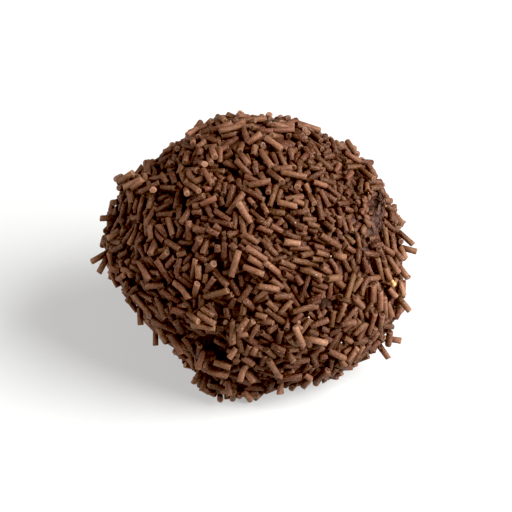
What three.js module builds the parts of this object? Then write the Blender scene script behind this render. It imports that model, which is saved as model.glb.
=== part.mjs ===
// A rum ball: a hand-rolled lump of rum and cocoa paste, rolled in chocolate sprinkles and set down
// to firm up on its own flat spot. It is one piece, solid right through, so it is one closed mesh,
// out to the uneven skin that the sprinkles make.
//
// Millimetres, +Z up. The ball stands on z = 0, with the middle of its bounding box over the origin.
// -Y is its front, +X its right-hand side.

import * as THREE from "three";
import { mergeVertices } from "three/addons/utils/BufferGeometryUtils.js";

// Driving dimensions of the rolled ball, before it was pressed flat anywhere.
const WIDTH = 60;
const DEPTH = 58;
const ROLLED_HEIGHT = 57;
const STANDING_HEIGHT = 51.5; // the ball sags onto its flat spot, which takes off the rest

const FACETS_PER_EDGE = 18; // how finely each face of the icosahedron is divided

// Where a palm or the table pressed the ball flat: the way the flat faces, how far it lies from the
// ball's middle, and how wide its edge is rounded over.
const FLATS = [
  { name: "left flank", azimuth: 205, elevation: -31, distance: 25.8, rounding: 4 },
  { name: "top", azimuth: 60, elevation: 60, distance: 30.1, rounding: 8 },
  { name: "back", azimuth: 118, elevation: 8, distance: 27.8, rounding: 9 },
];

// Where the paste bulges, or dips if the height is negative. The width is the angle, in degrees,
// at which a bulge has dropped to about a third of its height.
const BULGES = [
  { name: "left shoulder", azimuth: 190, elevation: 0, height: 0.8, width: 22 },
  { name: "crown", azimuth: 116, elevation: 72, height: -0.2, width: 16 },
  { name: "step below the crown", azimuth: 146, elevation: 42, height: -1.8, width: 16 },
  { name: "right cheek", azimuth: 344, elevation: -14, height: 2.2, width: 26 },
  { name: "front brow", azimuth: 262, elevation: 34, height: 0.8, width: 20 },
  { name: "left toe", azimuth: 236, elevation: -51, height: 4.1, width: 14 },
  { name: "pinch above the left toe", azimuth: 227, elevation: -31, height: -4.6, width: 12.5 },
  { name: "dip between the toes", azimuth: 291, elevation: -49, height: -1.1, width: 13 },
  { name: "right toe", azimuth: 322, elevation: -39, height: 0.7, width: 17 },
  { name: "back bulge", azimuth: 75, elevation: -12, height: 1.3, width: 22 },
];

// Gaps in the coat of sprinkles, sunk to the paste: how deep, and their radius across the skin.
const HOLLOWS = [
  { name: "front cleft", azimuth: 253, elevation: -11, depth: 1.8, radius: 2.6 },
  { name: "left pocket", azimuth: 225, elevation: 45, depth: 1.3, radius: 2.2 },
  { name: "top pocket", azimuth: 261, elevation: 67, depth: 1.2, radius: 2.6 },
  { name: "front pocket", azimuth: 254, elevation: 26, depth: 1, radius: 2 },
  { name: "right scrape", azimuth: 341, elevation: 27, depth: 0.8, radius: 3.2 },
];

// The coat's own unevenness, as overlapping ripples that run in different directions.
const RIPPLES = 14;
const RIPPLE_HEIGHT = 0.15;
const LONGEST_RIPPLE = 12;
const SHORTEST_RIPPLE = 5;

const BASE_ROUNDING = 2.5;
const BASE_DISTANCE = STANDING_HEIGHT - ROLLED_HEIGHT / 2;
const GOLDEN_ANGLE = Math.PI * (3 - Math.sqrt(5));

// A unit vector from an azimuth (0 along +X, 90 along +Y) and an elevation, in degrees.
function towards(azimuth, elevation) {
  const polar = THREE.MathUtils.degToRad(90 - elevation);
  const turn = THREE.MathUtils.degToRad(azimuth);
  return new THREE.Vector3(
    Math.sin(polar) * Math.cos(turn),
    Math.sin(polar) * Math.sin(turn),
    Math.cos(polar),
  );
}

// The lesser of two lengths, rounded over where they are within `width` of each other, and exact
// everywhere else, so that a flat stays truly flat inside its rounded edge.
function softMin(a, b, width) {
  const blend = Math.max(width - Math.abs(a - b), 0) / width;
  return Math.min(a, b) - (blend * blend * width) / 4;
}

// From the ball's middle to the plane at `distance` that faces `normal`.
function distanceToPlane(direction, normal, distance) {
  const facing = direction.dot(normal);
  return facing > 0.05 ? distance / facing : Infinity;
}

function rolledRadius(direction) {
  return 1 / Math.hypot(
    direction.x / (WIDTH / 2),
    direction.y / (DEPTH / 2),
    direction.z / (ROLLED_HEIGHT / 2),
  );
}

// The summed height of bells centred on the listed features.
function bells(direction, features) {
  return features.reduce((sum, { axis, height, spread }) => {
    const apart = direction.angleTo(axis) / spread;
    return sum + height * Math.exp(-apart * apart);
  }, 0);
}

const meanRadius = (WIDTH + DEPTH + ROLLED_HEIGHT) / 6;
const bulges = BULGES.map(({ azimuth, elevation, height, width }) => ({
  axis: towards(azimuth, elevation),
  height,
  spread: THREE.MathUtils.degToRad(width),
}));
const hollows = HOLLOWS.map(({ azimuth, elevation, depth, radius }) => ({
  axis: towards(azimuth, elevation),
  height: -depth,
  spread: radius / meanRadius,
}));
const flats = FLATS.map((flat) => ({ ...flat, normal: towards(flat.azimuth, flat.elevation) }));
const down = new THREE.Vector3(0, 0, -1);

// Each ripple runs along its own direction of a spiral over the sphere, the later ones finer.
const ripples = Array.from({ length: RIPPLES }, (_, i) => {
  const share = (i + 0.5) / RIPPLES;
  const along = towards(THREE.MathUtils.radToDeg(i * GOLDEN_ANGLE), 90 - 180 * share);
  const length = LONGEST_RIPPLE * (SHORTEST_RIPPLE / LONGEST_RIPPLE) ** share;
  return { along, pace: (2 * Math.PI) / length, phase: i * GOLDEN_ANGLE };
});

function rippleHeight(direction) {
  return ripples.reduce((sum, { along, pace, phase }) => {
    const place = meanRadius * direction.dot(along);
    return sum + RIPPLE_HEIGHT * Math.sin(place * pace + phase);
  }, 0);
}

// How far the skin lies from the ball's middle in a direction: the rolled ball with its bulges,
// pressed flat on its sides, then uneven from the coat, and last cut level where it stands.
function skinRadius(direction) {
  let radius = rolledRadius(direction) + bells(direction, bulges);
  for (const { normal, distance, rounding } of flats)
    radius = softMin(radius, distanceToPlane(direction, normal, distance), rounding);
  radius += bells(direction, hollows) + rippleHeight(direction);
  return softMin(radius, distanceToPlane(direction, down, BASE_DISTANCE), BASE_ROUNDING);
}

function rumBallGeometry() {
  const sphere = new THREE.IcosahedronGeometry(1, FACETS_PER_EDGE);
  sphere.deleteAttribute("normal");
  sphere.deleteAttribute("uv");
  const skin = mergeVertices(sphere);
  const place = skin.getAttribute("position");
  const direction = new THREE.Vector3();
  for (let i = 0; i < place.count; i++) {
    direction.fromBufferAttribute(place, i).normalize();
    direction.multiplyScalar(skinRadius(direction));
    place.setXYZ(i, direction.x, direction.y, direction.z);
  }
  // The origin moves to the middle of the bounding box's underside.
  skin.computeBoundingBox();
  const middle = skin.boundingBox.getCenter(new THREE.Vector3());
  skin.translate(-middle.x, -middle.y, -skin.boundingBox.min.z);
  skin.computeVertexNormals();
  return skin;
}

const chocolateSprinkles = new THREE.MeshStandardMaterial({
  color: 0x6b4836,
  roughness: 0.7,
  metalness: 0,
});

const rumBall = new THREE.Mesh(rumBallGeometry(), chocolateSprinkles);
rumBall.name = "rum_ball";

const part = new THREE.Group();
part.add(rumBall);

export default part;
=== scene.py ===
"""A rum ball: a hand-rolled ball of rum and cocoa paste in a thick coat of chocolate sprinkles.

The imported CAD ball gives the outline. It is replaced by what the real one is made of: a smaller
core of paste, two to three layers of sprinkles that are settled onto it one against another, the
scraped patch on its right, and the crumbs that lie between the sprinkles. Everything is in metres,
in the frame of the CAD model, and every random draw is seeded.
"""

import functools
import math

import bpy
import numpy as np
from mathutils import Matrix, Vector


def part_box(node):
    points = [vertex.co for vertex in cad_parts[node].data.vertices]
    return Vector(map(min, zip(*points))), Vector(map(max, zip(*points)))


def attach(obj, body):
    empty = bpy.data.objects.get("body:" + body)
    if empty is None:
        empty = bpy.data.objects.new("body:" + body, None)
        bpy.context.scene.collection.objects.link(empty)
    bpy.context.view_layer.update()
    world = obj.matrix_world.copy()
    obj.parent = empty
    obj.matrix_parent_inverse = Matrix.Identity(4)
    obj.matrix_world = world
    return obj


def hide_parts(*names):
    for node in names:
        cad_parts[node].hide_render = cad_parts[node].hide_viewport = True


bl_info = {
    "name": "Rum Ball",
    "version": (1, 0, 0),
    "blender": (4, 5, 0),
    "location": "3D View > Sidebar > Rum Ball",
    "description": "A hand-rolled ball of rum paste in a coat of chocolate sprinkles",
    "category": "Add Mesh",
}

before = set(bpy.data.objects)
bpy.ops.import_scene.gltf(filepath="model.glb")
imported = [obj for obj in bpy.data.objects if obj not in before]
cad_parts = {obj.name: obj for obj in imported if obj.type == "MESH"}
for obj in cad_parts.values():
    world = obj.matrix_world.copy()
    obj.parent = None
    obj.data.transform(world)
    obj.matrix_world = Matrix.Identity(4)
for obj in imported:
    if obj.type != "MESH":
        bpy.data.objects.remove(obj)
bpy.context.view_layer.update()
CAD_BALL = "rum_ball"
BODY = "root"
MM = 0.001

# The ball's middle, a little below half height: its skin is a distance from there in every direction.
BALL_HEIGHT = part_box(CAD_BALL)[1][2]
MIDDLE = np.array([0.0, 0.0, 0.46 * BALL_HEIGHT])


def linear(code):
    """A colour's linear red, green and blue from its sRGB hex code."""
    parts = [int(code[i : i + 2], 16) / 255 for i in (1, 3, 5)]
    return tuple(p / 12.92 if p <= 0.04045 else ((p + 0.055) / 1.055) ** 2.4 for p in parts)


def unit(vectors):
    return vectors / np.linalg.norm(vectors, axis=-1, keepdims=True)


def towards(azimuth, elevation):
    """The unit vector at an azimuth (0 along +X, 90 along +Y) and an elevation, in degrees."""
    turn, rise = np.radians(azimuth), np.radians(elevation)
    return np.stack([np.cos(rise) * np.cos(turn), np.cos(rise) * np.sin(turn), np.sin(rise)], -1)


# ---------------------------------------------------------------------------------------------
# The ball's skin, as a field
# ---------------------------------------------------------------------------------------------

# Where the coat stands out from the CAD ball's skin, or is rubbed thin: where, how far, in
# millimetres, and the angle over which that fades.
SWELLS = (
    ("under the left flank", 226, -30, -2.5, 13),
    ("crown, left", 161, 68, 1.1, 7),
    ("notch under the crown", 176, 49, -1.4, 7),
    ("left shoulder", 183, 33, 2.0, 9),
    ("behind the top, right", 16, 42, 0.8, 13),
    ("behind the top", 66, 58, 0.9, 14),
    ("left toe", 245, -45, 1.5, 7),
    ("front rim", 274, -42, 1.0, 10),
    ("above the front rim", 283, -29, 0.8, 7),
    ("right toe", 309, -34, 1.0, 12),
    ("right cheek", 330, -22, 1.5, 13),
)


def bells(directions, table):
    """The sum of a table's bells, in its unit: height exp(-(angle from its place / width)^2)."""
    total = np.zeros(directions.shape[:-1])
    for _, azimuth, elevation, height, width in table:
        apart = np.arccos(np.clip(directions @ towards(azimuth, elevation), -1, 1))
        total += height * np.exp(-((apart / math.radians(width)) ** 2))
    return total


class Skin:
    """The CAD ball's skin: how far it lies from the middle, and how it faces, in every direction.

    The distance is held on a grid of azimuths and elevations. Each entry is the mean distance of
    the CAD ball's points, weighted by exp((cos angle - 1) / spread^2), so a point counts less the
    further its direction is from the entry's. The bells of SWELLS are added to that. Between
    entries it is bilinear. The spread is in radians.
    """

    ROWS = 72
    COLUMNS = 144
    SPREAD = 0.055

    def __init__(self, points):
        away = points - MIDDLE
        distance = np.linalg.norm(away, axis=1)
        rise = (np.arange(self.ROWS) + 0.5) / self.ROWS * 180 - 90
        turn = np.arange(self.COLUMNS) / self.COLUMNS * 360
        turns, rises = np.meshgrid(turn, rise)
        grid = towards(turns, rises)
        nearness = grid.reshape(-1, 3) @ (away / distance[:, None]).T - 1
        weight = np.exp(nearness / self.SPREAD**2)
        self.radii = (weight @ distance / weight.sum(1)).reshape(turns.shape)
        self.radii += bells(grid, SWELLS) * MM
        places = grid * self.radii[..., None]
        across = np.roll(places, -1, 1) - np.roll(places, 1, 1)
        self.facings = unit(np.cross(across, np.gradient(places, axis=0)))

    def read(self, table, directions):
        """The bilinear mix of a table's four entries round each direction."""
        x, y, z = directions.T
        row = (np.arcsin(np.clip(z, -1, 1)) / np.pi + 0.5) * self.ROWS - 0.5
        column = np.arctan2(y, x) / (2 * np.pi) * self.COLUMNS % self.COLUMNS
        low = np.clip(np.floor(row).astype(int), 0, self.ROWS - 2)
        left = np.floor(column).astype(int) % self.COLUMNS
        right = (left + 1) % self.COLUMNS
        up, over = np.clip(row - low, 0, 1), column - np.floor(column)
        if table.ndim == 3:
            up, over = up[:, None], over[:, None]
        below = table[low, left] * (1 - over) + table[low, right] * over
        above = table[low + 1, left] * (1 - over) + table[low + 1, right] * over
        return below * (1 - up) + above * up

    def facing(self, directions):
        return self.read(self.facings, directions)

    def place(self, directions, height=0.0):
        """The place at a height over the skin, measured along the way the skin faces."""
        on_it = MIDDLE + directions * self.read(self.radii, directions)[:, None]
        return on_it + self.facing(directions) * np.reshape(height, (-1, 1))

    def height(self, places):
        """How high each place lies over the skin, negative inside, and the way the skin faces."""
        away = places - MIDDLE
        distance = np.linalg.norm(away, axis=1)
        directions = away / distance[:, None]
        facing = self.facing(directions)
        lean = (facing * directions).sum(1)
        return (distance - self.read(self.radii, directions)) * lean, facing


def points_of(mesh):
    found = np.empty(len(mesh.vertices) * 3, np.float32)
    mesh.vertices.foreach_get("co", found)
    return found.reshape(-1, 3).astype(float)


@functools.lru_cache
def skin():
    return Skin(points_of(bpy.data.objects[CAD_BALL].data))


# ---------------------------------------------------------------------------------------------
# Settling the sprinkles
# ---------------------------------------------------------------------------------------------


class Rods:
    """Straight round rods: middle, way along, length, radius, how easily each moves, how far out
    of the skin it may stick, how pale it is, and whether it is drawn bent."""

    FIELDS = ("middle", "along", "length", "radius", "ease", "give", "pale", "bent")

    def __init__(self, **fields):
        for key in self.FIELDS:
            setattr(self, key, fields[key])

    def pick(self, chosen):
        return Rods(**{key: getattr(self, key)[chosen] for key in self.FIELDS})

    def joined(self, more):
        pairs = ((key, getattr(self, key), getattr(more, key)) for key in self.FIELDS)
        return Rods(**{key: np.concatenate([mine, other]) for key, mine, other in pairs})

    @property
    def reach(self):
        """Half the length of the line down a rod's middle that stands for it where rods meet.

        A rod is taken to be all that lies within its radius of that line, so its ends count as round.
        """
        return np.maximum(self.length / 2 - 0.6 * self.radius, 0.1 * self.radius)


# Rods that are less than this from touching count as neighbours until the next search for them,
# which comes every so many rounds.
NEAR = 0.8 * MM
SEARCH_EVERY = 8

# How many others may touch a rod before it gives way less to each.
FREELY = 1.6


def nearest_on_lines(p, d, h, q, e, k):
    """Where the lines p + s d and q + t e, with s and t within h and k, come nearest each other.

    Lines that run the same way have no one such place, so what divides is kept off zero.
    """
    between = p - q
    along = (d * e).sum(1)
    on_d, on_e = (d * between).sum(1), (e * between).sum(1)
    s = np.clip((along * on_e - on_d) / np.maximum(1 - along**2, 1e-3), -h, h)
    t = np.clip(on_e + along * s, -k, k)
    s = np.clip(along * t - on_d, -h, h)
    t = np.clip(on_e + along * s, -k, k)
    return s, t


def near_pairs(rods, reach):
    """Every pair of rods whose middles are close enough for the rods to touch soon."""
    directions = unit(rods.middle - MIDDLE).astype(np.float32)
    widest = 2 * (reach.max() + rods.radius.max()) + NEAR
    # What that spans, in radians, as seen from the middle by the deepest rods, with some to spare.
    angle = 1.15 * widest / (BALL_HEIGHT / 2 - 4 * MM)
    a, b = np.nonzero(np.triu(directions @ directions.T > math.cos(angle), 1))
    apart = np.linalg.norm(rods.middle[a] - rods.middle[b], axis=1)
    near = apart < reach[a] + reach[b] + rods.radius[a] + rods.radius[b] + NEAR
    return a[near], b[near]


def summed(index, vectors, count):
    """The sum of the vectors that each index has, for every index below a count."""
    return np.stack([np.bincount(index, column, count) for column in vectors.T], 1)


def settle(rods, depth, rounds, pull, sunk=0.25):
    """Draws the rods onto the core and pushes apart those that overlap, round after round.

    A round moves each rod a step inwards, against the way the skin faces: the whole pull at first,
    and none in the last fifth of the rounds. Each two rods that overlap are then pushed apart where
    they come nearest, each by its ease, and turned as a push there turns a rod of its length. A rod
    that several others touch moves less for each, or the heap would jump. Last, each end is lifted
    out of the core, pressed back under a palm that rolls over the skin, and kept above the table.
    The core takes in the share sunk of a rod's thickness.
    """
    count = len(rods.middle)
    reach, radius, ease = rods.reach, rods.radius, rods.ease
    inertia = reach**2 / 3 + radius**2 / 2
    end_weight = 1 + reach**2 / inertia
    floor_of_coat = -depth + radius * (1 - 2 * sunk)
    for step in range(rounds):
        if step % SEARCH_EVERY == 0:
            first, second = near_pairs(rods, reach)
        _, facing = skin().height(rods.middle)
        step_in = pull * ease * max(0.0, 1 - 1.25 * step / rounds)
        rods.middle = rods.middle - facing * step_in[:, None]

        s, t = nearest_on_lines(
            rods.middle[first], rods.along[first], reach[first],
            rods.middle[second], rods.along[second], reach[second],
        )
        gap = (rods.middle[first] + s[:, None] * rods.along[first]
               - rods.middle[second] - t[:, None] * rods.along[second])
        apart = np.linalg.norm(gap, axis=1)
        overlap = radius[first] + radius[second] - apart
        hit = overlap > 0
        a, b, s, t = first[hit], second[hit], s[hit], t[hit]
        yields = ease[a] * (1 + s**2 / inertia[a]) + ease[b] * (1 + t**2 / inertia[b])
        push = gap[hit] * (overlap[hit] / yields / np.maximum(apart[hit], 1e-6))[:, None]
        moves = summed(a, push, count) - summed(b, push, count)
        turns = (summed(a, push * (s / inertia[a])[:, None], count)
                 - summed(b, push * (t / inertia[b])[:, None], count))
        touching = np.bincount(a, minlength=count) + np.bincount(b, minlength=count)
        calm = (ease * FREELY / np.maximum(touching, FREELY))[:, None]
        rods.middle = rods.middle + moves * calm
        rods.along = unit(rods.along + turns * calm)

        for side in (-1, 1):
            tip = rods.middle + side * reach[:, None] * rods.along
            height, facing = skin().height(tip)
            lift = np.maximum(floor_of_coat - height, 0)
            press = np.maximum(height + radius - rods.give, 0)
            move = facing * (lift - press / 2)[:, None]
            move[:, 2] += np.maximum(radius - tip[:, 2] - move[:, 2], 0)
            move *= (np.minimum(ease, 1) / end_weight)[:, None]
            rods.middle = rods.middle + move
            rods.along = unit(rods.along + side * move * (reach / inertia)[:, None])
    return rods


def let_down(rods, start):
    """Lowers the rods from a start on, a little at a time, until each one touches another."""
    first, second = near_pairs(rods, rods.reach)
    ours = second >= start
    a, b = first[ours], second[ours]
    steps, step = 16, 0.1 * MM
    for _ in range(steps):
        s, t = nearest_on_lines(
            rods.middle[a], rods.along[a], rods.reach[a],
            rods.middle[b], rods.along[b], rods.reach[b],
        )
        gap = (rods.middle[a] + s[:, None] * rods.along[a]
               - rods.middle[b] - t[:, None] * rods.along[b])
        free = np.full(len(rods.middle), step)
        np.minimum.at(free, b, np.linalg.norm(gap, axis=1) - rods.radius[a] - rods.radius[b])
        free[:start] = 0
        _, facing = skin().height(rods.middle)
        rods.middle = rods.middle - facing * np.maximum(free, 0)[:, None]
    return rods


# Patches where the palm combed the sprinkles to lie one way: the patch's middle, as an azimuth and
# an elevation, the angle over which it fades, the way its sprinkles point, and how many of them do.
COMBED = (
    ("left flank", 226, 8, 17, 136, 14, 0.9),
    ("under the left flank", 216, -18, 14, 126, 10, 0.9),
    ("upper left flank", 196, 27, 13, 0, 48, 0.65),
    ("left shoulder", 208, 31, 11, 80, 50, 0.6),
    ("crown", 160, 81, 13, 47, 0, 0.85),
    ("above the brow", 258, 66, 13, 112, 25, 0.75),
    ("front, right of the middle", 290, 28, 20, 179, 34, 0.7),
    ("left of the scrape", 333, 42, 9, 66, 14, 0.6),
    ("below the scrape", 336, 20, 8, 120, 60, 0.6),
    ("right flank", 328, 2, 11, 210, 74, 0.7),
    ("above the right toe", 309, -12, 12, 8, 62, 0.6),
)

# How far those sprinkles stray from the patch's way, as the spread along each axis.
COMBED_STRAY = 0.15

# Gaps in the coat that show the paste: where, and how near a gap's axis the middle line of a
# sprinkle may come, in millimetres.
HOLLOWS = (
    ("front cleft, left", 250, -11, 1.1),
    ("front cleft, right", 256, -12, 1.2),
    ("slit above the cleft, left", 257, 8, 0.6),
    ("slit above the cleft, right", 262, 6, 0.7),
    ("left pocket", 225, 45, 0.8),
    ("top pocket", 250, 67, 0.8),
    ("front pocket", 254, 26, 0.9),
    ("brow pocket", 276, 60, 0.8),
    ("right pocket", 308, 55, 0.7),
    ("gap under the cleft", 258, -18, 0.7),
    ("gap over the left toe", 246, -37, 0.6),
    ("gap over the front rim", 268, -33, 0.6),
    ("scrape, top", 353, 30, 0.9),
    ("scrape, above the middle", 349, 28.5, 1.2),
    ("scrape, middle", 345, 27, 1.3),
    ("scrape, below the middle", 341, 25.5, 1.2),
    ("scrape, foot", 337, 24, 0.8),
)

# How the paste stands off its even depth under the coat: where, how far, in millimetres, and the
# angle over which that fades. A knock has scraped it out to the skin on the right.
PASTE_RELIEF = (
    ("front cleft", 253, -12, -1.8, 5),
    ("front pocket", 254, 26, -0.6, 4),
    ("scrape, top", 351, 29.5, 1.8, 5),
    ("scrape, middle", 345, 27.5, 1.7, 5),
    ("scrape, foot", 339, 25.5, 1.8, 5),
    ("under the crushed sprinkles", 334, 33, 1.0, 6),
)

# The scrape runs down the right side as a strip, from its top to its foot, and the sprinkles above
# it are crushed: each place is an azimuth and an elevation.
SCRAPE_TOP = (352, 30)
SCRAPE_FOOT = (336, 25)
CRUSHED = (338, 33)

# Sprinkles that hang off the coat or catch the eye: where each one's middle lies, as an azimuth
# and an elevation, how high over the skin and how long it is, in millimetres, the way it points,
# how much paler it is than most, in units of their spread, and whether it is bent.
PLACED = (
    # on the left shoulder, three of them with their ends to the front
    (179, 32, 0.1, 3.6, 113, -34, 0.2, 0),
    (184, 36, 0.1, 4.2, 342, 40, 0.4, 0),
    (192, 39, 0.1, 3.0, 356, 44, 0.6, 0),
    (203, 43, -0.2, 3.2, 270, 35, 0.6, 0),
    (223, 51, -0.4, 3.0, 272, 15, 0.4, 0),
    (217, 64, -0.4, 3.0, 290, 25, 0.3, 0),
    # along the right shoulder
    (13, 47, 0.3, 3.8, 300, -16, 0.0, 0),
    (358, 40, 0.2, 3.7, 305, -30, -0.3, 0),
    (2, 38, 0.3, 3.3, 305, -35, -0.3, 0),
    # hanging off the left flank
    (183, 16.5, 0.5, 3.4, 180, -4, -0.5, 0),
    (192, 5, 0.5, 4.2, 20, 25, 0.0, 0),
    (196, 4, 0.4, 3.6, 50, 45, 0.0, 0),
    (207, 8, 0.1, 3.5, 350, -15, -1.0, 0),
    (202, 1, 0.5, 3.6, 310, -45, 0.0, 0),
    (212, 5, 0.0, 3.4, 70, 55, 0.0, 0),
    (209, -9, 0.1, 3.4, 325, -40, -1.0, 0),
    (219, -7, 0.2, 3.4, 275, -55, -0.5, 0),
    (214, -24, 0.3, 5.8, 265, -55, 0.0, 0),
    (237, -13, 0.1, 4.2, 310, -45, -0.5, 0),
    (242, -39, 0.1, 3.4, 55, 50, 0.0, 0),
    # hanging off the right flank
    (352, 10, 0.1, 3.8, 325, -40, 0.0, 0),
    (350, 7, 0.3, 3.6, 350, -15, 0.0, 0),
    (344, 9, 0.1, 2.8, 305, -50, 0.0, 0),
    (341, 3, 0.2, 3.3, 310, -45, 0.0, 0),
    (338, -2, 0.1, 3.2, 295, -50, 0.5, 0),
    (337, -8, 0.2, 3.6, 325, -40, 0.0, 0),
    (344, -16, 0.6, 3.4, 212, -37, 0.0, 0),
    (340, -27, 0.4, 3.4, 355, -5, 0.5, 0),
    (335, -30, 0.4, 3.6, 320, -40, 0.5, 0),
    # three side by side on the brow, and others that lie open
    (271, 33, -0.3, 4.6, 340, -30, -0.2, 0),
    (271, 30, -0.2, 3.4, 345, -25, 0.0, 0),
    (270, 27, 0.0, 4.0, 345, -20, 0.8, 0),
    (262, 29, 0.0, 5.2, 45, 60, 0.0, 0),
    (276, 20, -0.1, 3.8, 5, -15, 0.4, 0),
    (246, 23, -0.1, 2.6, 285, -75, 1.2, 0),
    (293, -5, 0.1, 5.2, 0, -10, 1.6, 1),
    # round the cleft
    (262, 1, 0.1, 4.4, 272, -65, 0.8, 0),
    (251, 3, 0.0, 4.6, 350, -10, 0.5, 0),
    (252, 6, 0.0, 3.9, 340, -15, 0.0, 0),
    (266, 5, -0.1, 3.1, 215, -40, 0.3, 0),
    (262, -9, 0.0, 2.4, 30, 40, 0.8, 0),
    (257, -18, -0.1, 3.3, 350, -15, 0.2, 0),
    (255, -23, 0.0, 4.0, 350, -10, 0.5, 0),
    (248, -17, 0.0, 3.6, 240, -50, 0.0, 0),
    (265, -20, 0.1, 3.8, 230, -50, 0.6, 1),
    (268, -25, 0.1, 2.8, 320, -40, 0.6, 0),
    # under the front, hanging to the table
    (240, -38, 0.0, 2.8, 245, -50, 0.0, 0),
    (258, -34, 0.0, 2.9, 285, -55, 0.0, 0),
    (282, -33, 0.0, 3.0, 255, -50, 0.0, 0),
)

# Painted light and shade: where the sprinkles are painted paler or darker than most, to follow how
# the light falls on the ball: where, how much, in units of their spread, and the angle over which
# that fades.
PAINTED_LIGHT_AND_SHADE = (
    ("left edge", 201, 22, 1.9, 11),
    ("left shoulder", 219, 46, 0.8, 11),
    ("left flank", 216, 7, -0.9, 10),
    ("left toe", 257, -27, -0.9, 11),
    ("above the cleft", 261, 5, -1.4, 11),
    ("middle of the brow", 284, 41, 0.8, 11),
    ("upper right edge", 2, 32, -1.8, 13),
    ("right edge", 334, 4, 2.3, 12),
    ("right cheek", 324, -11, 1.9, 12),
)

# Half the length, width and thickness of a crumb of chocolate, in millimetres.
CRUMB_HALF = (0.22, 0.17, 0.13)

# Crumbs of other stuff: azimuth, elevation, height over the skin and half width, in millimetres.
SUGAR_PLACES = (
    (304, 27, 0.3, 0.12),
    (292, 43, 0.2, 0.10),
    (291, 6, 0.3, 0.14),
    (296, 22, 0.3, 0.11),
    (305, -10, 0.3, 0.12),
)
TOFFEE_PLACES = (
    (331.5, 4.6, 0.2, 0.42),
    (332.2, 3.0, 0.2, 0.48),
    (345.3, 37.0, -0.1, 0.13),
    (349.0, 27.5, -0.1, 0.15),
)


def spread_evenly(count, rng, stray):
    """Directions on a golden spiral over the sphere, each moved a little at random."""
    turn = (np.arange(count) + 0.5) * 180 * (3 - math.sqrt(5))
    rise = np.degrees(np.arcsin(1 - 2 * (np.arange(count) + 0.5) / count))
    return unit(towards(turn, rise) + rng.normal(0, stray, (count, 3)))


def lay(directions, tilt, heading):
    """The way along a rod that lies on the skin, turned by its heading and tipped up by its tilt."""
    facing = skin().facing(directions)
    # Not quite upright, so that it is never the very way that the skin faces under a rod.
    upward = np.broadcast_to((0.02, 0.01, 1.0), facing.shape)
    side = unit(np.cross(facing, upward))
    ahead = np.cross(side, facing)
    flat = side * np.cos(heading)[:, None] + ahead * np.sin(heading)[:, None]
    return flat * np.cos(tilt)[:, None] + facing * np.sin(tilt)[:, None]


def combed(directions, along, rng):
    """The ways along the rods, after those drawn to a combed patch near by have turned its way.

    A rod keeps its tilt: only the part of its way that lies flat on the skin turns.
    """
    facing = skin().facing(directions)
    for _, azimuth, elevation, width, to_azimuth, to_elevation, share in COMBED:
        apart = np.arccos(np.clip(directions @ towards(azimuth, elevation), -1, 1))
        drawn = rng.random(len(directions)) < share * np.exp(-((apart / math.radians(width)) ** 2))
        up = (along * facing).sum(1)[:, None]
        way = towards(to_azimuth, to_elevation) + rng.normal(0, COMBED_STRAY, directions.shape)
        flat = unit(way - (way * facing).sum(1)[:, None] * facing)
        turned = flat * np.sqrt(np.maximum(1 - up**2, 0)) + up * facing
        along = np.where(drawn[:, None], turned, along)
    return along


def unevenness(directions, rng):
    """A smooth random field over the sphere, about normal, with lumps 6 to 10 mm across.

    It is the sum of cosine waves that run through the ball in random directions.
    """
    count = 16
    waves = unit(rng.normal(size=(count, 3))) * rng.uniform(9, 15, (count, 1))
    phases = rng.uniform(0, 2 * math.pi, count)
    return np.cos(directions @ waves.T + phases).sum(1) * math.sqrt(2 / count)


# How long the longest of the scattered sprinkles is, and the longest one that counts as a stub, and
# what share of them is bent.
LONGEST = 5 * MM
LONGEST_STUB = 2.6 * MM
BENT = 0.05


def scattered(count, thickness, length, rng, low, high, upright):
    """Rods scattered through a shell between a low and a high height over the skin.

    A share of them is upright, and stands at any tilt, and the others lie nearly flat. Their
    lengths follow a gamma distribution whose spread is a third of the mean, as a cutter gives. By
    the scrape they are broken.
    """
    directions = spread_evenly(count, rng, stray=0.03)
    lengths = np.clip(rng.gamma(9, length / 9, count), 1.2 * thickness, LONGEST)
    apart = np.degrees(np.arccos(np.clip(directions @ towards(*CRUSHED), -1, 1)))
    lengths = np.where(apart < rng.uniform(3, 12, count), 0.7 * lengths, lengths)
    radius = thickness / 2 * np.clip(rng.normal(1, 0.06, count), 0.86, 1.16)
    steep = rng.random(count) < upright
    tilt = np.where(steep, rng.uniform(-1.4, 1.4, count), rng.normal(0, 0.22, count))
    along = lay(directions, tilt, rng.uniform(0, math.pi, count))
    return Rods(
        middle=skin().place(directions, rng.uniform(low, high, count)),
        along=combed(directions, along, rng),
        length=lengths,
        radius=radius,
        ease=np.ones(count),
        give=np.zeros(count),
        pale=rng.normal(0, 1, count),
        bent=rng.random(count) < BENT,
    )


def placed_rods(thickness):
    """The sprinkles of PLACED, which hardly move while the others settle."""
    azimuth, elevation, height, length, to_azimuth, to_elevation, pale, bent = np.array(PLACED).T
    count = len(PLACED)
    return Rods(
        middle=skin().place(towards(azimuth, elevation), height * MM),
        along=towards(to_azimuth, to_elevation),
        length=length * MM,
        radius=np.full(count, thickness / 2),
        ease=np.full(count, 0.03),
        give=np.full(count, 9 * MM),
        pale=pale,
        bent=bent > 0,
    )


def outside_hollows(rods):
    """Which rods keep clear of the gaps in the coat, each a round shaft out from the ball's middle."""
    clear = np.ones(len(rods.middle), bool)
    out = BALL_HEIGHT
    for _, azimuth, elevation, radius in HOLLOWS:
        axis = np.broadcast_to(towards(azimuth, elevation), rods.middle.shape)
        halfway = MIDDLE + axis * out / 2
        s, t = nearest_on_lines(rods.middle, rods.along, rods.reach, halfway, axis, out / 2)
        gap = rods.middle + s[:, None] * rods.along - halfway - t[:, None] * axis
        clear &= np.linalg.norm(gap, axis=1) > radius * MM
    return clear


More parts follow.
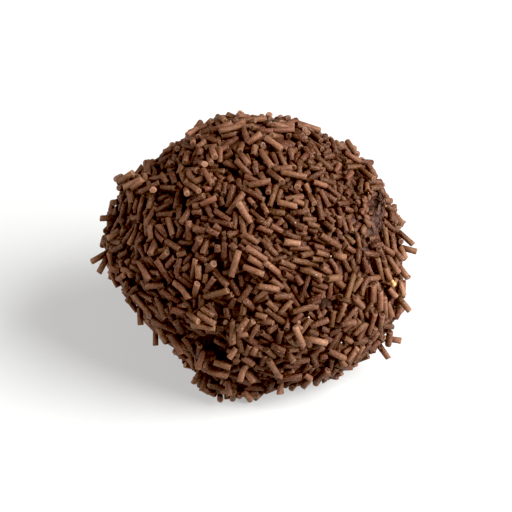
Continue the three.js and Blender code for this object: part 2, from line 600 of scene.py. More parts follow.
@functools.lru_cache
def settled_coat(under, over, thickness, length, depth, seed):
    """All the sprinkles of the coat, where they come to rest, and whether each lies underneath.

    A dense layer settles first and is pressed into the paste. The rest fall onto it in drifts
    and stay loose: one in ten may stick out further, unless it is a long one. Last, those with
    a place of their own are let down onto their neighbours.
    """
    rng = np.random.default_rng(seed)
    # A palm rolls the layer underneath down to between 1.2 and 1.7 mm over the core.
    first = scattered(
        under, thickness, length, rng, low=-depth + 0.2 * MM, high=-depth + 1.8 * MM, upright=0.08)
    first.give = -depth + rng.uniform(1.2, 1.7, under) * MM
    first = settle(first, depth, rounds=90, pull=0.05 * MM)
    first.ease[:] = 0.15
    # It leaves the layer over that from level with the skin to a millimetre out, and higher in drifts.
    second = scattered(
        over, thickness, 1.05 * length, rng, low=-0.4 * MM, high=1.6 * MM, upright=0.13)
    drift = unevenness(unit(second.middle - MIDDLE), rng)
    heaped = np.minimum(rng.normal(0.62 + 0.2 * drift, 0.3), 1.15)
    loose = (rng.random(over) < 0.1) & (second.length < 1.3 * length)
    second.give = np.where(loose, rng.uniform(0.6, 1.6, over), heaped) * MM
    second = second.pick(rng.random(over) < 1.0 + 0.25 * drift)
    # The sprinkles with a place of their own come last, so that they can be told from the rest.
    placed = placed_rods(thickness)
    coat = settle(first.joined(second).joined(placed), depth, rounds=130, pull=0.05 * MM)
    coat = let_down(coat, start=len(coat.middle) - len(placed.middle))
    is_under = np.arange(len(coat.middle)) < under
    clear = outside_hollows(coat)
    clear[-len(placed.middle):] = True
    return coat.pick(clear), is_under[clear]


# ---------------------------------------------------------------------------------------------
# Meshes from arrays
# ---------------------------------------------------------------------------------------------


def new_piece(name, points, faces, material, flat=(), **attributes):
    """A mesh object from its points and its faces, given as arrays with a row of corners each."""
    mesh = bpy.data.meshes.new(name)
    corners = np.concatenate([f.ravel() for f in faces])
    sizes = np.concatenate([np.full(len(f), f.shape[1]) for f in faces])
    mesh.vertices.add(len(points))
    mesh.vertices.foreach_set("co", points.astype(np.float32).ravel())
    mesh.loops.add(len(corners))
    mesh.loops.foreach_set("vertex_index", corners.astype(np.int32))
    mesh.polygons.add(len(sizes))
    mesh.polygons.foreach_set("loop_start", (np.cumsum(sizes) - sizes).astype(np.int32))
    smooth = np.concatenate([np.full(len(f), i not in flat) for i, f in enumerate(faces)])
    mesh.polygons.foreach_set("use_smooth", smooth)
    uv = attributes.pop("uv", None)
    if uv is not None:
        layer = mesh.uv_layers.new(name="OFBake")
        layer.uv.foreach_set("vector", uv.astype(np.float32).ravel())
    for key, values in attributes.items():
        kind, field = ("FLOAT", "value") if values.ndim == 1 else ("FLOAT_VECTOR", "vector")
        held = mesh.attributes.new(key, kind, "POINT")
        held.data.foreach_set(field, values.astype(np.float32).ravel())
    mesh.update(calc_edges=True)
    mesh.validate()
    mesh.materials.append(material)
    piece = bpy.data.objects.new(name, mesh)
    bpy.context.scene.collection.objects.link(piece)
    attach(piece, BODY)
    return piece


def walls(rings, sides):
    """The four corners of each face that joins a ring of points to the next one, ring by ring."""
    k, j = np.meshgrid(np.arange(rings - 1), np.arange(sides), indexing="ij")
    after = (j + 1) % sides
    corners = (k * sides + j, k * sides + after, (k + 1) * sides + after, (k + 1) * sides + j)
    return np.stack(corners, -1).reshape(-1, 4)


def closed_ball(rings, sides):
    """The faces of a pole, a stack of rings and another pole, whose points come in that order."""
    j = np.arange(sides)
    after, top = (j + 1) % sides, rings * sides + 1
    low = np.stack([after + 1, j + 1, np.zeros_like(j)], -1)
    high = np.stack([top - sides + j, top - sides + after, np.full_like(j, top)], -1)
    return [1 + walls(rings, sides), np.concatenate([low, high])]


def repeated(faces, count, points_each):
    """The faces of many like meshes that follow each other, each with so many points."""
    first = (np.arange(count) * points_each)[:, None, None]
    return (first + faces[None]).reshape(-1, faces.shape[-1])


# A strand's rings from one end to the other: which end a ring is measured from (0 for the middle),
# how far in from it as a share of the radius (of the length for the middle), and its width.
# The first ring is the lip of the dimple that the cutter leaves in a fine strand's end.
FINE_RINGS = (
    (-1, 0.1, 0.5), (-1, 0.0, 0.84), (-1, 0.14, 1.0),
    (1, 0.14, 1.0), (1, 0.0, 0.84), (1, 0.1, 0.5),
)
BENT_RINGS = FINE_RINGS[:3] + ((0, -0.14, 1.0), (0, 0.0, 1.0), (0, 0.14, 1.0)) + FINE_RINGS[3:]
PLAIN_RINGS = ((-1, 0.0, 0.82), (-1, 0.16, 1.0), (1, 0.16, 1.0), (1, 0.0, 0.82))


# Where a sprinkle or the paste would lie lower, it is flat instead, at this height over the table.
SPRINKLE_FLAT = 0.02 * MM
PASTE_FLAT = 0.6 * MM


class Build:
    """How each strand departs from a straight round rod, as one random draw for each strand.

    The bow is a share of its length, and the oval, the lump and the taper are shares of its radius.
    The cut is how far each end slopes for each step across it. The kink and the phases are angles
    in radians. Away is where the strand cuts its grain from, in millimetres. The dimple is how much
    painted shade darkens the hollow in each end.
    """

    def __init__(self, count, rng, pale, bow=0.018, kink=0.0):
        self.tone = pale
        self.bow = rng.normal(0, bow, count)
        self.kink = kink * rng.uniform(0.6, 1.1, count)
        self.cut = rng.normal(0, 0.2, (count, 2))
        self.taper = rng.normal(0, 0.035, count)
        self.oval = np.abs(rng.normal(0, 0.035, count))
        self.lump = rng.normal(0, 0.02, count)
        self.phase = rng.uniform(0, 2 * math.pi, (count, 3))
        self.warmth = rng.normal(0, 1, count)
        self.away = rng.uniform(0, 40, (count, 3))
        self.dimple = rng.uniform(-0.4, 0.8, (count, 1, 1))


def strand_mesh(rods, build, rings, sides):
    """The points, faces and attributes of many strands, each a ring carried along a bent path.

    For a strand of length L and radius r, the path at s from its middle leaves the straight by
    bow L (1 - (2 s / L)^2) - kink (sqrt(s^2 + r^2) - r). Its ring lies square to the path, and at
    the angle m its radius is r width (1 + oval cos 2m + lump cos 3m) (1 + taper 2 s / L). The cut
    ends lean: a ring's point near an end is moved along the strand by cut r cos m. A strand has
    painted shade on its underside, darker in step with how far down across its own width a point
    lies. What would lie below the table is flat on it instead.
    """
    count = len(rods.middle)
    length, radius = rods.length[:, None], rods.radius[:, None]
    end, inset, width = (np.array(column) for column in zip(*rings))
    s = np.where(end == 0, inset * length, end * (length / 2 - inset * radius))
    bow, kink = build.bow[:, None] * length, build.kink[:, None]
    root = np.sqrt(s**2 + radius**2)
    aside = bow * (1 - (2 * s / length) ** 2) - kink * (root - radius)
    slope = -8 * bow * s / length**2 - kink * s / root

    _, facing = skin().height(rods.middle)
    spin = build.phase[:, 0, None]
    b = unit(np.cross(rods.along, facing + 1e-3))
    a = np.cross(b, rods.along)
    a, b = a * np.cos(spin) + b * np.sin(spin), b * np.cos(spin) - a * np.sin(spin)
    along = rods.along[:, None, :]
    path = rods.middle[:, None, :] + along * s[..., None] + a[:, None, :] * aside[..., None]
    ahead = unit(along + a[:, None, :] * slope[..., None])
    out = unit(a[:, None, :] - along * slope[..., None])

    m = np.arange(sides) * 2 * math.pi / sides
    shape = (1 + build.oval[:, None] * np.cos(2 * m + build.phase[:, 1, None])
             + build.lump[:, None] * np.cos(3 * m + build.phase[:, 2, None]))
    thick = radius * width * (1 + build.taper[:, None] * 2 * s / length)
    ring = thick[..., None] * shape[:, None, :]
    lean = np.where(end < 0, build.cut[:, :1], np.where(end > 0, build.cut[:, 1:], 0.0))
    shift = lean[..., None] * ring * np.cos(m)
    points = (path[:, :, None, :] + out[:, :, None, :] * (ring * np.cos(m))[..., None]
              + b[:, None, None, :] * (ring * np.sin(m))[..., None]
              + ahead[:, :, None, :] * shift[..., None])
    points[..., 2] = np.maximum(points[..., 2], SPRINKLE_FLAT)

    rows = len(rings)
    per_point = rows * sides
    caps = np.stack([np.arange(sides)[::-1], (rows - 1) * sides + np.arange(sides)])
    faces = [repeated(part, count, per_point) for part in (walls(rows, sides), caps)]

    own = np.stack(np.broadcast_arrays(s[..., None], ring * np.cos(m), ring * np.sin(m)), -1)
    local = own.reshape(count, -1, 3) / MM + build.away[:, None, :]
    at_end = np.broadcast_to(((end != 0) & (width < 1))[None, :, None], (count, rows, sides))
    rise = ((points - rods.middle[:, None, None]) * facing[:, None, None]).sum(-1) / radius[..., None]
    attributes = {
        "strand": local.reshape(-1, 3),
        "tone": np.repeat(build.tone, per_point),
        "warmth": np.repeat(build.warmth, per_point),
        # Painted shade: each strand is darker on its underside, the half turned to the paste.
        "damp": np.clip(0.5 - 0.5 * rise, 0, 1.6).ravel(),
        # A cut end's rim is paler, partly for its broken face and partly as a painted highlight, and
        # its hollow is darkened with painted shade.
        "cut_end": np.where(at_end, np.where(width[:, None] < 0.6, -build.dimple, 1.0), 0.0).ravel(),
        "uv": tiled(count, rows, sides, s, length, m),
    }
    return points.reshape(-1, 3), faces, attributes


def tiled(count, rows, sides, s, length, m):
    """A map that gives each strand a square tile of its own, with a margin round what is on it.

    The wall unrolls over the tile's left three quarters, and the two ends are discs at its right,
    one above the other.
    """
    across = math.ceil(math.sqrt(count))
    tile = np.stack([np.arange(count) % across, np.arange(count) // across], -1)[:, None, :]
    k, j = np.meshgrid(np.arange(rows - 1), np.arange(sides), indexing="ij")
    columns = np.stack([j, j + 1, j + 1, j], -1).reshape(-1) / sides
    lines = np.stack([k, k, k + 1, k + 1], -1).reshape(-1)
    share = np.arange(rows) / (rows - 1) * 0.5 + 0.5 * (s / length + 0.5)
    wall = np.stack(np.broadcast_arrays(0.03 + 0.70 * columns, 0.03 + 0.94 * share[:, lines]), -1)
    disc = np.stack([np.cos(m), np.sin(m)], -1) * 0.10
    caps = np.stack([disc[::-1] + (0.87, 0.28), disc + (0.87, 0.72)]).reshape(1, -1, 2)
    caps = np.broadcast_to(caps, (count, 2 * sides, 2))
    return np.concatenate([((tile + part) / across).reshape(-1, 2) for part in (wall, caps)])


def lump_mesh(places, along, facing, sizes, rng, rings=4, sides=7, rough=0.16):
    """Small irregular lumps, each a sphere grid whose radius wavers from point to point.

    A lump's three half widths, its sizes, lie along it, across it and the way the skin faces.
    """
    count = len(places)
    rise = (np.arange(1, rings + 1) / (rings + 1) - 0.5) * math.pi
    turn = np.arange(sides) * 2 * math.pi / sides
    rises, turns = np.meshgrid(rise, turn, indexing="ij")
    ball = np.stack([np.sin(rises), np.cos(rises) * np.cos(turns), np.cos(rises) * np.sin(turns)], -1)
    ball = np.concatenate([[(-1, 0, 0)], ball.reshape(-1, 3), [(1, 0, 0)]])
    waver = 1 + rng.normal(0, rough, (count, len(ball)))
    across = unit(np.cross(facing, along))
    axes = np.stack([np.cross(across, facing), across, facing], 1)
    shape = ball[None] * waver[..., None] * sizes[:, None, :]
    points = places[:, None, :] + np.einsum("npk,nkc->npc", shape, axes)
    faces = [repeated(part, count, len(ball)) for part in closed_ball(rings, sides)]
    local = shape / MM + rng.uniform(0, 40, (count, 1, 3))
    attributes = {
        "strand": local.reshape(-1, 3),
        "tone": np.repeat(rng.normal(0, 1, count), len(ball)),
        "warmth": np.repeat(rng.normal(0, 1, count), len(ball)),
    }
    return points.reshape(-1, 3), faces, attributes


def paste_mesh(depth, rings=120, sides=240):
    """The points and faces of the paste: the skin sunk by the coat's depth, and uneven.

    The unevenness is three waves of 0.12 mm, each about 3 mm long and swung aside by another, and
    on top of that come the bells of PASTE_RELIEF. The grid is one of azimuth and elevation, with
    each row midway between where even angles and even heights would put it. Where the ball rests,
    the paste is flat.
    """
    heights = np.degrees(np.arcsin(np.linspace(-1, 1, rings + 2)[1:-1]))
    rise = 0.5 * heights + 0.5 * np.linspace(-90, 90, rings + 2)[1:-1]
    turns, rises = np.meshgrid(np.arange(sides) * 360 / sides, rise)
    directions = np.concatenate([
        towards(np.zeros(1), np.full(1, -90.0)), towards(turns, rises).reshape(-1, 3),
        towards(np.zeros(1), np.full(1, 90.0)),
    ])
    # The waves are laid out on a round ball, in millimetres.
    radius, swing = 30, 0.12
    x, y, z = (directions * radius).T
    relief = swing * (np.sin(2.1 * x + np.sin(1.7 * y)) + np.sin(1.9 * y + np.sin(2.3 * z))
                      + np.sin(2.3 * z + np.sin(1.5 * x)))
    relief += bells(directions, PASTE_RELIEF)
    points = skin().place(directions, -depth + relief * MM)
    points[:, 2] = np.maximum(points[:, 2], PASTE_FLAT)
    return points, closed_ball(rings, sides)


# ---------------------------------------------------------------------------------------------
# Materials
# ---------------------------------------------------------------------------------------------


def add(tree, kind, links=None, values=None, **settings):
    """Adds a node with its settings, its sockets' values and its incoming links, by socket name."""
    node = tree.nodes.new(kind)
    for key, value in settings.items():
        setattr(node, key, value)
    for key, value in (values or {}).items():
        node.inputs[key].default_value = value
    for key, source in (links or {}).items():
        tree.links.new(source, node.inputs[key])
    return node


def new_material(name):
    """A material with only its output, and its node tree."""
    material = bpy.data.materials.new(name)
    material.use_nodes = True
    material.node_tree.nodes.clear()
    return material, material.node_tree


def finish(tree, shader):
    add(tree, "ShaderNodeOutputMaterial", {"Surface": shader.outputs["BSDF"]})


def rgba(colour):
    return (*colour, 1.0)


def mix_colours(tree, factor, first, second):
    """Mixes two colours, each a socket or a fixed colour, by a factor, a socket or a number."""
    node = add(tree, "ShaderNodeMix", data_type="RGBA", clamp_factor=True)
    # A Mix node's sockets for colours: its factor, its first and its second colour, and its result.
    for index, value in ((0, factor), (6, first), (7, second)):
        if isinstance(value, bpy.types.NodeSocket):
            tree.links.new(value, node.inputs[index])
        else:
            node.inputs[index].default_value = value
    return node.outputs[2]


def compound_chocolate(colours):
    """Compound chocolate, extruded as a string and cut: dull and grainy, with a paler cut end.

    Sugar grains and cocoa solids of 0.3 mm clump under the skin and mottle it, bloomed fat leaves
    pale flecks of 0.15 mm, and each strand has a tone of its own, from reddish to olive brown.
    Shade is painted on it: each strand is darker towards its underside. A cut end is paler, partly
    for its broken face and partly as a painted highlight on its rim, with painted shade in its hollow.
    """
    material, tree = new_material("compound_chocolate_extruded")
    strand = add(tree, "ShaderNodeAttribute", attribute_name="strand").outputs["Vector"]
    tone, warmth, cut_end, damp = (
        add(tree, "ShaderNodeAttribute", attribute_name=name).outputs["Fac"]
        for name in ("tone", "warmth", "cut_end", "damp"))
    # The strand attribute is in millimetres, so a scale is how many grains lie in a millimetre.
    clumps, flecks, patches = (
        add(tree, "ShaderNodeTexNoise", {"Vector": strand},
            {"Scale": scale, "Detail": detail, "Roughness": roughness}).outputs["Fac"]
        for scale, detail, roughness in ((3.3, 3.0, 0.6), (6.5, 1.0, 0.5), (0.8, 2.0, 0.5)))

    # How pale the chocolate is, from 0 to 1: what each cause adds to it. The tone carries painted light
    # and shade as well as each strand's own paleness, the underside gets painted shade, and a cut end
    # gets a painted highlight on its rim, partly for its broken face, and painted shade in its hollow.
    level = add(tree, "ShaderNodeMath", {0: tone}, {1: 0.15, 2: -0.38}, operation="MULTIPLY_ADD")
    for cause, weight in ((clumps, 1.3), (patches, 0.7), (cut_end, 0.18), (damp, -0.55)):
        level = add(tree, "ShaderNodeMath", {0: cause, 2: level.outputs[0]}, {1: weight},
                    operation="MULTIPLY_ADD")
    base = mix_colours(tree, level.outputs[0], rgba(colours.sprinkle_deep), rgba(colours.sprinkle_pale))
    for weight, colour in ((0.13, colours.sprinkle_red), (-0.13, colours.sprinkle_olive)):
        share = add(tree, "ShaderNodeMath", {0: warmth}, {1: weight}, operation="MULTIPLY",
                    use_clamp=True)
        base = mix_colours(tree, share.outputs[0], base, rgba(colour))
    worn = add(tree, "ShaderNodeMath", {0: level.outputs[0]}, {1: 0.9, 2: -0.68},
               operation="MULTIPLY_ADD", use_clamp=True)
    base = mix_colours(tree, worn.outputs[0], base, rgba(colours.sprinkle_bloom))
    bloom = add(tree, "ShaderNodeMapRange", {"Value": flecks},
                {"From Min": 0.57, "From Max": 0.7, "To Min": 0.0, "To Max": 0.5})
    base = mix_colours(tree, bloom.outputs[0], base, rgba(colours.sprinkle_bloom))
    # The rim of a cut end takes the bloom colour: partly its broken face, partly a painted highlight.
    broken = add(tree, "ShaderNodeMath", {0: cut_end}, {1: 0.28}, operation="MULTIPLY", use_clamp=True)
    base = mix_colours(tree, broken.outputs[0], base, rgba(colours.sprinkle_bloom))

    relief = add(tree, "ShaderNodeMath", {0: flecks, 2: clumps}, {1: 0.5}, operation="MULTIPLY_ADD")
    bump = add(tree, "ShaderNodeBump", {"Height": relief.outputs[0]},
               {"Strength": 0.7, "Distance": 0.06 * MM})
    rough = add(tree, "ShaderNodeMapRange", {"Value": clumps}, {"To Min": 0.45, "To Max": 0.65})
    shader = add(tree, "ShaderNodeBsdfPrincipled",
                 {"Base Color": base, "Roughness": rough.outputs[0], "Normal": bump.outputs[0]},
                 {"IOR": 1.46, "Specular IOR Level": 0.22,
                  "Specular Tint": rgba(colours.sprinkle_gloss)})
    finish(tree, shader)
    return material


def cocoa_paste(colours):
    """Rum and cocoa paste, kneaded and rolled by hand: moist and near black, with smears of fat.

    The smears are purplish brown, 0.9 mm wide and drawn out four times that, and show best where it
    was scraped. Crumbs of 0.7 mm in the paste make it grainy.
    """
    material, tree = new_material("cocoa_paste_hand_rolled")
    place = add(tree, "ShaderNodeTexCoord").outputs["Object"]
    grain = add(tree, "ShaderNodeTexNoise", {"Vector": place}, {"Scale": 1.5 / MM, "Detail": 4.0})
    drawn = add(tree, "ShaderNodeMapping", {"Vector": place}, {"Scale": (1.0, 1.0, 0.22)})
    smears = add(tree, "ShaderNodeTexNoise", {"Vector": drawn.outputs[0]},
                 {"Scale": 1.1 / MM, "Detail": 3.0, "Roughness": 0.6})
    level = add(tree, "ShaderNodeMapRange", {"Value": smears.outputs["Fac"]},
                {"From Min": 0.42, "From Max": 0.72})
    base = mix_colours(tree, level.outputs[0], rgba(colours.paste_deep), rgba(colours.paste_pale))
    relief = add(tree, "ShaderNodeMath", {0: grain.outputs["Fac"], 1: smears.outputs["Fac"]},
                 operation="ADD")
    bump = add(tree, "ShaderNodeBump", {"Height": relief.outputs[0]},
               {"Strength": 0.8, "Distance": 0.25 * MM})
    rough = add(tree, "ShaderNodeMapRange", {"Value": grain.outputs["Fac"]},
                {"To Min": 0.5, "To Max": 0.7})
    shader = add(tree, "ShaderNodeBsdfPrincipled",
                 {"Base Color": base, "Roughness": rough.outputs[0], "Normal": bump.outputs[0]},
                 {"IOR": 1.45, "Specular IOR Level": 0.12})
    finish(tree, shader)
    return material


def sugar(colours):
    """Sugar crystals, white, grown in syrup and broken: clear and glassy, so they glint."""
    material, tree = new_material("sugar_crystal_broken")
    strand = add(tree, "ShaderNodeAttribute", attribute_name="strand").outputs["Vector"]
    cloud = add(tree, "ShaderNodeTexNoise", {"Vector": strand}, {"Scale": 4.0, "Detail": 2.0})
    base = mix_colours(tree, cloud.outputs["Fac"], rgba(colours.sugar), (1.0, 0.97, 0.9, 1.0))
    shader = add(tree, "ShaderNodeBsdfPrincipled", {"Base Color": base},
                 {"Roughness": 0.2, "IOR": 1.54, "Transmission Weight": 0.25})
    finish(tree, shader)
    return material


def toffee(colours):
    """Hard toffee, boiled and crushed: golden, glossy on its broken faces, deeper in its cracks."""
    material, tree = new_material("toffee_crushed")
    strand = add(tree, "ShaderNodeAttribute", attribute_name="strand").outputs["Vector"]
    cloud = add(tree, "ShaderNodeTexNoise", {"Vector": strand}, {"Scale": 3.0, "Detail": 3.0})
    base = mix_colours(tree, cloud.outputs["Fac"], rgba(colours.toffee_deep), rgba(colours.toffee_pale))
    bump = add(tree, "ShaderNodeBump", {"Height": cloud.outputs["Fac"]},
               {"Strength": 0.5, "Distance": 0.1 * MM})
    shader = add(tree, "ShaderNodeBsdfPrincipled", {"Base Color": base, "Normal": bump.outputs[0]},
                 {"Roughness": 0.35, "IOR": 1.5})
    finish(tree, shader)
    return material


def opal_floor(colour, glow):
    """Opal acrylic sheet, cast, satin and lit from below: white, with pale, soft shadows."""
    material, tree = new_material("opal_acrylic_satin")
    shader = add(tree, "ShaderNodeBsdfPrincipled", values={
        "Base Color": rgba(colour), "Roughness": 0.8, "Specular IOR Level": 0.2,
        "Emission Color": (1.0, 1.0, 1.0, 1.0), "Emission Strength": glow})
    finish(tree, shader)
    return material


# ---------------------------------------------------------------------------------------------
# Settings
# ---------------------------------------------------------------------------------------------


def length_setting(name, description, default):
    return bpy.props.FloatProperty(
        name=name, description=description, default=default, min=0, unit="LENGTH", precision=5)


def colour_setting(name, description, code):
    return bpy.props.FloatVectorProperty(
        name=name, description=description, default=linear(code), min=0, max=1, subtype="COLOR")


class RumBallSizes(bpy.types.PropertyGroup):
    thickness: length_setting("Thickness", "How thick a sprinkle is", 1.2 * MM)
    length: length_setting("Length", "How long a sprinkle is on average", 3.05 * MM)
    depth: length_setting("Coat depth", "How deep the coat of sprinkles is", 3.2 * MM)
    under: bpy.props.IntProperty(
        name="Under layer", description="How many sprinkles are pressed into the paste",
        default=2000, min=100)
    over: bpy.props.IntProperty(
        name="Over layer", description="How many sprinkles lie on those", default=1720, min=100)
    crumbs: bpy.props.IntProperty(
        name="Crumbs", description="How many crumbs of chocolate stick to the coat", default=150, min=1)
    seed: bpy.props.IntProperty(
        name="Seed", description="The draw that lengths and places come from", default=7)


class RumBallColours(bpy.types.PropertyGroup):
    sprinkle_deep: colour_setting("Deep", "A sprinkle's darkest brown", "#33160b")
    sprinkle_pale: colour_setting("Pale", "A sprinkle's palest brown", "#7b543f")
    sprinkle_red: colour_setting("Red", "What the reddest sprinkles lean to", "#5c2f24")
    sprinkle_olive: colour_setting("Olive", "What the yellowest sprinkles lean to", "#5a3e22")
    # Bloomed fat, also used for the painted highlight on a cut end's rim.
    sprinkle_bloom: colour_setting("Bloom", "Bloomed fat, and a cut end", "#a0836e")
    sprinkle_gloss: colour_setting("Gloss", "What the fat on a sprinkle reflects", "#f6e2d2")
    paste_deep: colour_setting("Paste, deep", "The paste's darkest brown", "#1c100c")
    paste_pale: colour_setting("Paste, pale", "A smear of fat on the paste", "#60443a")
    sugar: colour_setting("Sugar", "A sugar crystal", "#e6d3b4")
    toffee_deep: colour_setting("Toffee, deep", "Toffee in its cracks", "#9c6c36")
    toffee_pale: colour_setting("Toffee, pale", "Toffee on a broken face", "#d0a46c")
    floor: colour_setting("Floor", "The sheet that the ball stands on", "#a0a09e")


class RumBallStudio(bpy.types.PropertyGroup):
    elevation: bpy.props.FloatProperty(
        name="Elevation", description="How far above the table the camera looks from",
        default=math.radians(35), subtype="ANGLE")
    distance: length_setting("Distance", "From the camera to the ball", 0.45)
    span: length_setting("Span", "How much the frame takes in at the ball", 0.1024)
    key: bpy.props.FloatProperty(
        name="Key light", description="The strong soft light, high on the right", default=33.0, min=0,
        unit="POWER")
    fill: bpy.props.FloatProperty(
        name="Fill light", description="The weak light from the left", default=8.0, min=0,
        unit="POWER")
    air: bpy.props.FloatProperty(
        name="Air", description="The even light from all round", default=0.12, min=0)
    wall: bpy.props.FloatProperty(
        name="Wall", description="How bright the far wall of the studio looks", default=0.46, min=0)
    glow: bpy.props.FloatProperty(
        name="Glow", description="The light from under the opal sheet", default=0.38, min=0)


# ---------------------------------------------------------------------------------------------
# Operators
# ---------------------------------------------------------------------------------------------


def coat_of(sizes):
    """The settled sprinkles, and which of them lie underneath."""
    return settled_coat(
        sizes.under, sizes.over, sizes.thickness, sizes.length, sizes.depth, sizes.seed)


class RUMBALL_OT_paste(bpy.types.Operator):
    """Makes the ball of paste inside the coat, and hides the CAD ball that it stands for"""

    bl_idname = "rumball.paste"
    bl_label = "Rum and Cocoa Paste"

    def execute(self, context):
        points, faces = paste_mesh(context.scene.rum_ball_sizes.depth)
        paste = new_piece("rum_paste", points, faces, cocoa_paste(context.scene.rum_ball_colours))
        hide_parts(CAD_BALL)
        return {"FINISHED"}


class RUMBALL_OT_sprinkles(bpy.types.Operator):
    """Coats the paste in chocolate sprinkles, one piece for each kind"""

    bl_idname = "rumball.sprinkles"
    bl_label = "Chocolate Sprinkles"

    def execute(self, context):
        sizes = context.scene.rum_ball_sizes
        rods, under = coat_of(sizes)
        chocolate = compound_chocolate(context.scene.rum_ball_colours)
        rng = np.random.default_rng(sizes.seed + 1)
        height, _ = skin().height(rods.middle)
        # Painted shade: those deeper than 0.6 mm, down between the others, are painted darker.
        sunk_shade = np.clip(-height / MM - 0.6, 0, 1.2)
        # Painted light and shade by region is added to each sprinkle's own tone.
        tone = rods.pale - 3 * sunk_shade + bells(unit(rods.middle - MIDDLE), PAINTED_LIGHT_AND_SHADE)
        bent = ~under & rods.bent & (rods.length > LONGEST_STUB)
        stub = ~under & ~bent & (rods.length < LONGEST_STUB)
        kinds = (
            ("under_sprinkles", under, PLAIN_RINGS, 8, {}),
            ("bent_sprinkles", bent, BENT_RINGS, 10, {"bow": 0.05, "kink": 0.35}),
            ("stub_sprinkles", stub, FINE_RINGS, 10, {}),
            ("straight_sprinkles", ~under & ~bent & ~stub, FINE_RINGS, 10, {}),
        )
        for name, chosen, rings, sides, departs in kinds:
            group = rods.pick(chosen)
            build = Build(len(group.middle), rng, tone[chosen], **departs)
            points, faces, attributes = strand_mesh(group, build, rings, sides)
            new_piece(name, points, faces, chocolate, flat=(1,), **attributes)
        return {"FINISHED"}


class RUMBALL_OT_crumbs(bpy.types.Operator):
    """Scatters what broke off: slivers in the scrape, crumbs, sugar and toffee"""

    bl_idname = "rumball.crumbs"
    bl_label = "Crumbs"

    def execute(self, context):
        sizes, colours = context.scene.rum_ball_sizes, context.scene.rum_ball_colours
        rng = np.random.default_rng(sizes.seed + 2)
        chocolate = bpy.data.materials["compound_chocolate_extruded"]
        top, foot, crushed = (towards(*place) for place in (SCRAPE_TOP, SCRAPE_FOOT, CRUSHED))
        self.slivers("scraped_paste", bpy.data.materials["cocoa_paste_hand_rolled"], rng, count=34,
                     middle=(foot + top) / 2, run=0.55 * (top - foot), stray=0.028, low=-0.6,
                     high=-0.2, turn=0.12, half=(1.0, 0.14, 0.09), tone=-0.3)
        self.slivers("crushed_sprinkles", chocolate, rng, count=18, middle=crushed,
                     run=0.45 * (top - foot), stray=0.05, low=-0.9, high=-0.5, turn=0.8,
                     half=(0.8, 0.6, 0.4), tone=-2.2)
        self.crumbs(rng, chocolate, sizes)
        self.specks("sugar_crystals", SUGAR_PLACES, rng, sugar(colours))
        self.specks("toffee_crumbs", TOFFEE_PLACES, rng, toffee(colours))
        return {"FINISHED"}

    def slivers(self, name, material, rng, count, middle, run, stray, low, high, turn, half, tone):
        """Slivers dragged along the scrape, on a strip through a middle that runs out both ways.

        They lie between a low and a high height over the skin. Stray and turn are the spreads of
        their places and of the ways they point, and half is their half widths, in millimetres.
        """
        share = rng.uniform(-1, 1, (count, 1))
        directions = unit(middle + share * run + rng.normal(0, stray, (count, 3)))
        places = skin().place(directions, rng.uniform(low, high, count) * MM)
        along = unit(unit(run) + rng.normal(0, turn, (count, 3)))
        facing = skin().facing(directions)
        along = unit(along - (along * facing).sum(1)[:, None] * facing)
        sizes = half * rng.uniform(0.6, 1.4, (count, 1)) * MM
        points, faces, attributes = lump_mesh(places, along, facing, sizes, rng)
        attributes["tone"] = attributes["tone"] * 0.5 + tone
        new_piece(name, points, faces, material, **attributes)

    def crumbs(self, rng, chocolate, sizes):
        """Crumbs that stick to the outer sprinkles, each on the side that faces outwards."""
        rods, under = coat_of(sizes)
        height, facing = skin().height(rods.middle)
        clear_of_table = rods.middle[:, 2] > 3 * MM
        outer = np.flatnonzero(~under & (height > -1.2 * MM) & clear_of_table)
        on = rng.choice(outer, sizes.crumbs)
        half = rng.uniform(0.6, 1.4, (sizes.crumbs, 1)) * CRUMB_HALF * MM
        share = rng.uniform(-0.5, 0.5, sizes.crumbs)[:, None] * rods.length[on, None]
        around = unit(facing[on] + rng.normal(0, 0.5, (sizes.crumbs, 3)))
        out = unit(around - (around * rods.along[on]).sum(1)[:, None] * rods.along[on])
        places = rods.middle[on] + share * rods.along[on] + out * rods.radius[on, None]
        along = rng.normal(size=(sizes.crumbs, 3))
        points, faces, attributes = lump_mesh(places, along, out, half, rng, rings=3, sides=6)
        new_piece("chocolate_crumbs", points, faces, chocolate, **attributes)

    def specks(self, name, table, rng, material):
        """Single crumbs at their places: azimuth, elevation, height, and half width, in millimetres."""
        azimuth, elevation, height, half = np.array(table).T
        directions = towards(azimuth, elevation)
        places = skin().place(directions, height * MM)
        shape = half[:, None] * rng.uniform(0.7, 1.3, (len(table), 3)) * MM
        along = rng.normal(size=(len(table), 3))
        facing = skin().facing(directions)
        points, faces, attributes = lump_mesh(places, along, facing, shape, rng, rings=3, sides=6)
        new_piece(name, points, faces, material, **attributes)


# The studio's square soft lights: where each stands, and how wide it is, in metres.
KEY_SOFTBOX = ((0.69, -0.25, 0.57), 0.8)
FILL_SOFTBOX = ((-0.9, -0.1, 0.35), 0.25)

# The red, green and blue that show as black, so that the gaps between the sprinkles are truly dark.
BLACK_POINT = (0.004, 0.010, 0.012)

# Where the camera aims: near the axis, and a little below half of the ball's height.
AIM = np.array([0.4 * MM, 0.0, 0.427 * BALL_HEIGHT])


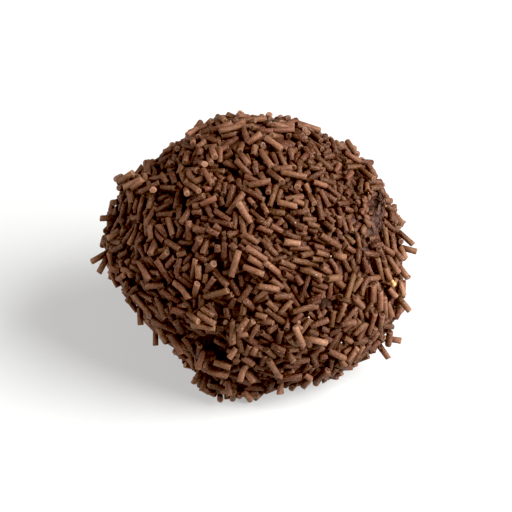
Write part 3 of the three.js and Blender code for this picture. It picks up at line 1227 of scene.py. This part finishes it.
class RUMBALL_OT_studio(bpy.types.Operator):
    """Sets up the floor, the lights and the camera"""

    bl_idname = "rumball.studio"
    bl_label = "Table-top Studio"

    def execute(self, context):
        studio = context.scene.rum_ball_studio
        self.floor(context)
        self.light(context, "key_softbox", *KEY_SOFTBOX, studio.key)
        self.light(context, "fill_softbox", *FILL_SOFTBOX, studio.fill)
        self.air(context, studio)
        self.camera(context, studio)
        view = context.scene.view_settings
        view.view_transform = "Standard"
        view.use_curve_mapping = True
        view.curve_mapping.black_level = BLACK_POINT
        return {"FINISHED"}

    def air(self, context, studio):
        """Even light from all round. Seen by the camera itself, it is the studio's far wall."""
        world = bpy.data.worlds.new("studio_air")
        world.use_nodes = True
        tree = world.node_tree
        background = tree.nodes["Background"]
        background.inputs["Color"].default_value = (1, 1, 1, 1)
        looked_at = add(tree, "ShaderNodeLightPath").outputs["Is Camera Ray"]
        strength = add(tree, "ShaderNodeMapRange", {"Value": looked_at}, {
            "To Min": studio.air, "To Max": studio.wall})
        tree.links.new(strength.outputs["Result"], background.inputs["Strength"])
        context.scene.world = world

    def floor(self, context):
        """A flat disc six metres across."""
        corners, radius = 64, 3.0
        rim = towards(np.arange(corners) * 360 / corners, np.zeros(corners)) * radius
        mesh = bpy.data.meshes.new("floor")
        mesh.from_pydata(rim.tolist(), [], [list(range(corners))])
        studio = context.scene.rum_ball_studio
        mesh.materials.append(opal_floor(context.scene.rum_ball_colours.floor, studio.glow))
        floor = bpy.data.objects.new("floor", mesh)
        context.scene.collection.objects.link(floor)

    def light(self, context, name, place, size, power):
        """A square area light at a place, facing the ball."""
        lamp = bpy.data.lights.new(name, "AREA")
        lamp.energy = power
        lamp.size = size
        light = bpy.data.objects.new(name, lamp)
        light.location = place
        light.rotation_euler = aimed(np.array(place), MIDDLE)
        context.scene.collection.objects.link(light)

    def camera(self, context, studio):
        """A camera straight in front of the ball, raised by its elevation. The scene uses it."""
        lens = bpy.data.cameras.new("camera")
        lens.lens = lens.sensor_width * studio.distance / studio.span
        lens.clip_start = 0.01
        camera = bpy.data.objects.new("camera", lens)
        back = np.array([0, -math.cos(studio.elevation), math.sin(studio.elevation)])
        camera.location = AIM + back * studio.distance
        camera.rotation_euler = aimed(AIM + back, AIM)
        context.scene.collection.objects.link(camera)
        context.scene.camera = camera


def aimed(place, target):
    """The turn that points a camera or light at a place towards a target, with its top upwards."""
    x, y, z = target - place
    return (math.atan2(math.hypot(x, y), -z), 0.0, math.atan2(-x, y))


OPERATORS = (RUMBALL_OT_studio, RUMBALL_OT_paste, RUMBALL_OT_sprinkles, RUMBALL_OT_crumbs)


class RUMBALL_PT_panel(bpy.types.Panel):
    """Lists the pieces of the rum ball and the sizes and colours they are made with"""

    bl_label = "Rum Ball"
    bl_idname = "RUMBALL_PT_panel"
    bl_space_type = "VIEW_3D"
    bl_region_type = "UI"
    bl_category = "Rum Ball"

    def draw(self, context):
        for operator in OPERATORS:
            self.layout.operator(operator.bl_idname)
        for group in ("rum_ball_sizes", "rum_ball_colours", "rum_ball_studio"):
            box = self.layout.box()
            settings = getattr(context.scene, group)
            for key in settings.bl_rna.properties.keys():
                if key not in ("rna_type", "name"):
                    box.prop(settings, key)


GROUPS = {
    "rum_ball_sizes": RumBallSizes,
    "rum_ball_colours": RumBallColours,
    "rum_ball_studio": RumBallStudio,
}


def register():
    for kind in (*GROUPS.values(), *OPERATORS, RUMBALL_PT_panel):
        bpy.utils.register_class(kind)
    for key, kind in GROUPS.items():
        setattr(bpy.types.Scene, key, bpy.props.PointerProperty(type=kind))


def unregister():
    for key in GROUPS:
        delattr(bpy.types.Scene, key)
    for kind in (RUMBALL_PT_panel, *reversed(OPERATORS), *reversed(GROUPS.values())):
        bpy.utils.unregister_class(kind)


def main():
    register()
    for operator in OPERATORS:
        getattr(bpy.ops.rumball, operator.bl_idname.split(".")[1])()


if __name__ == "__main__":
    main()
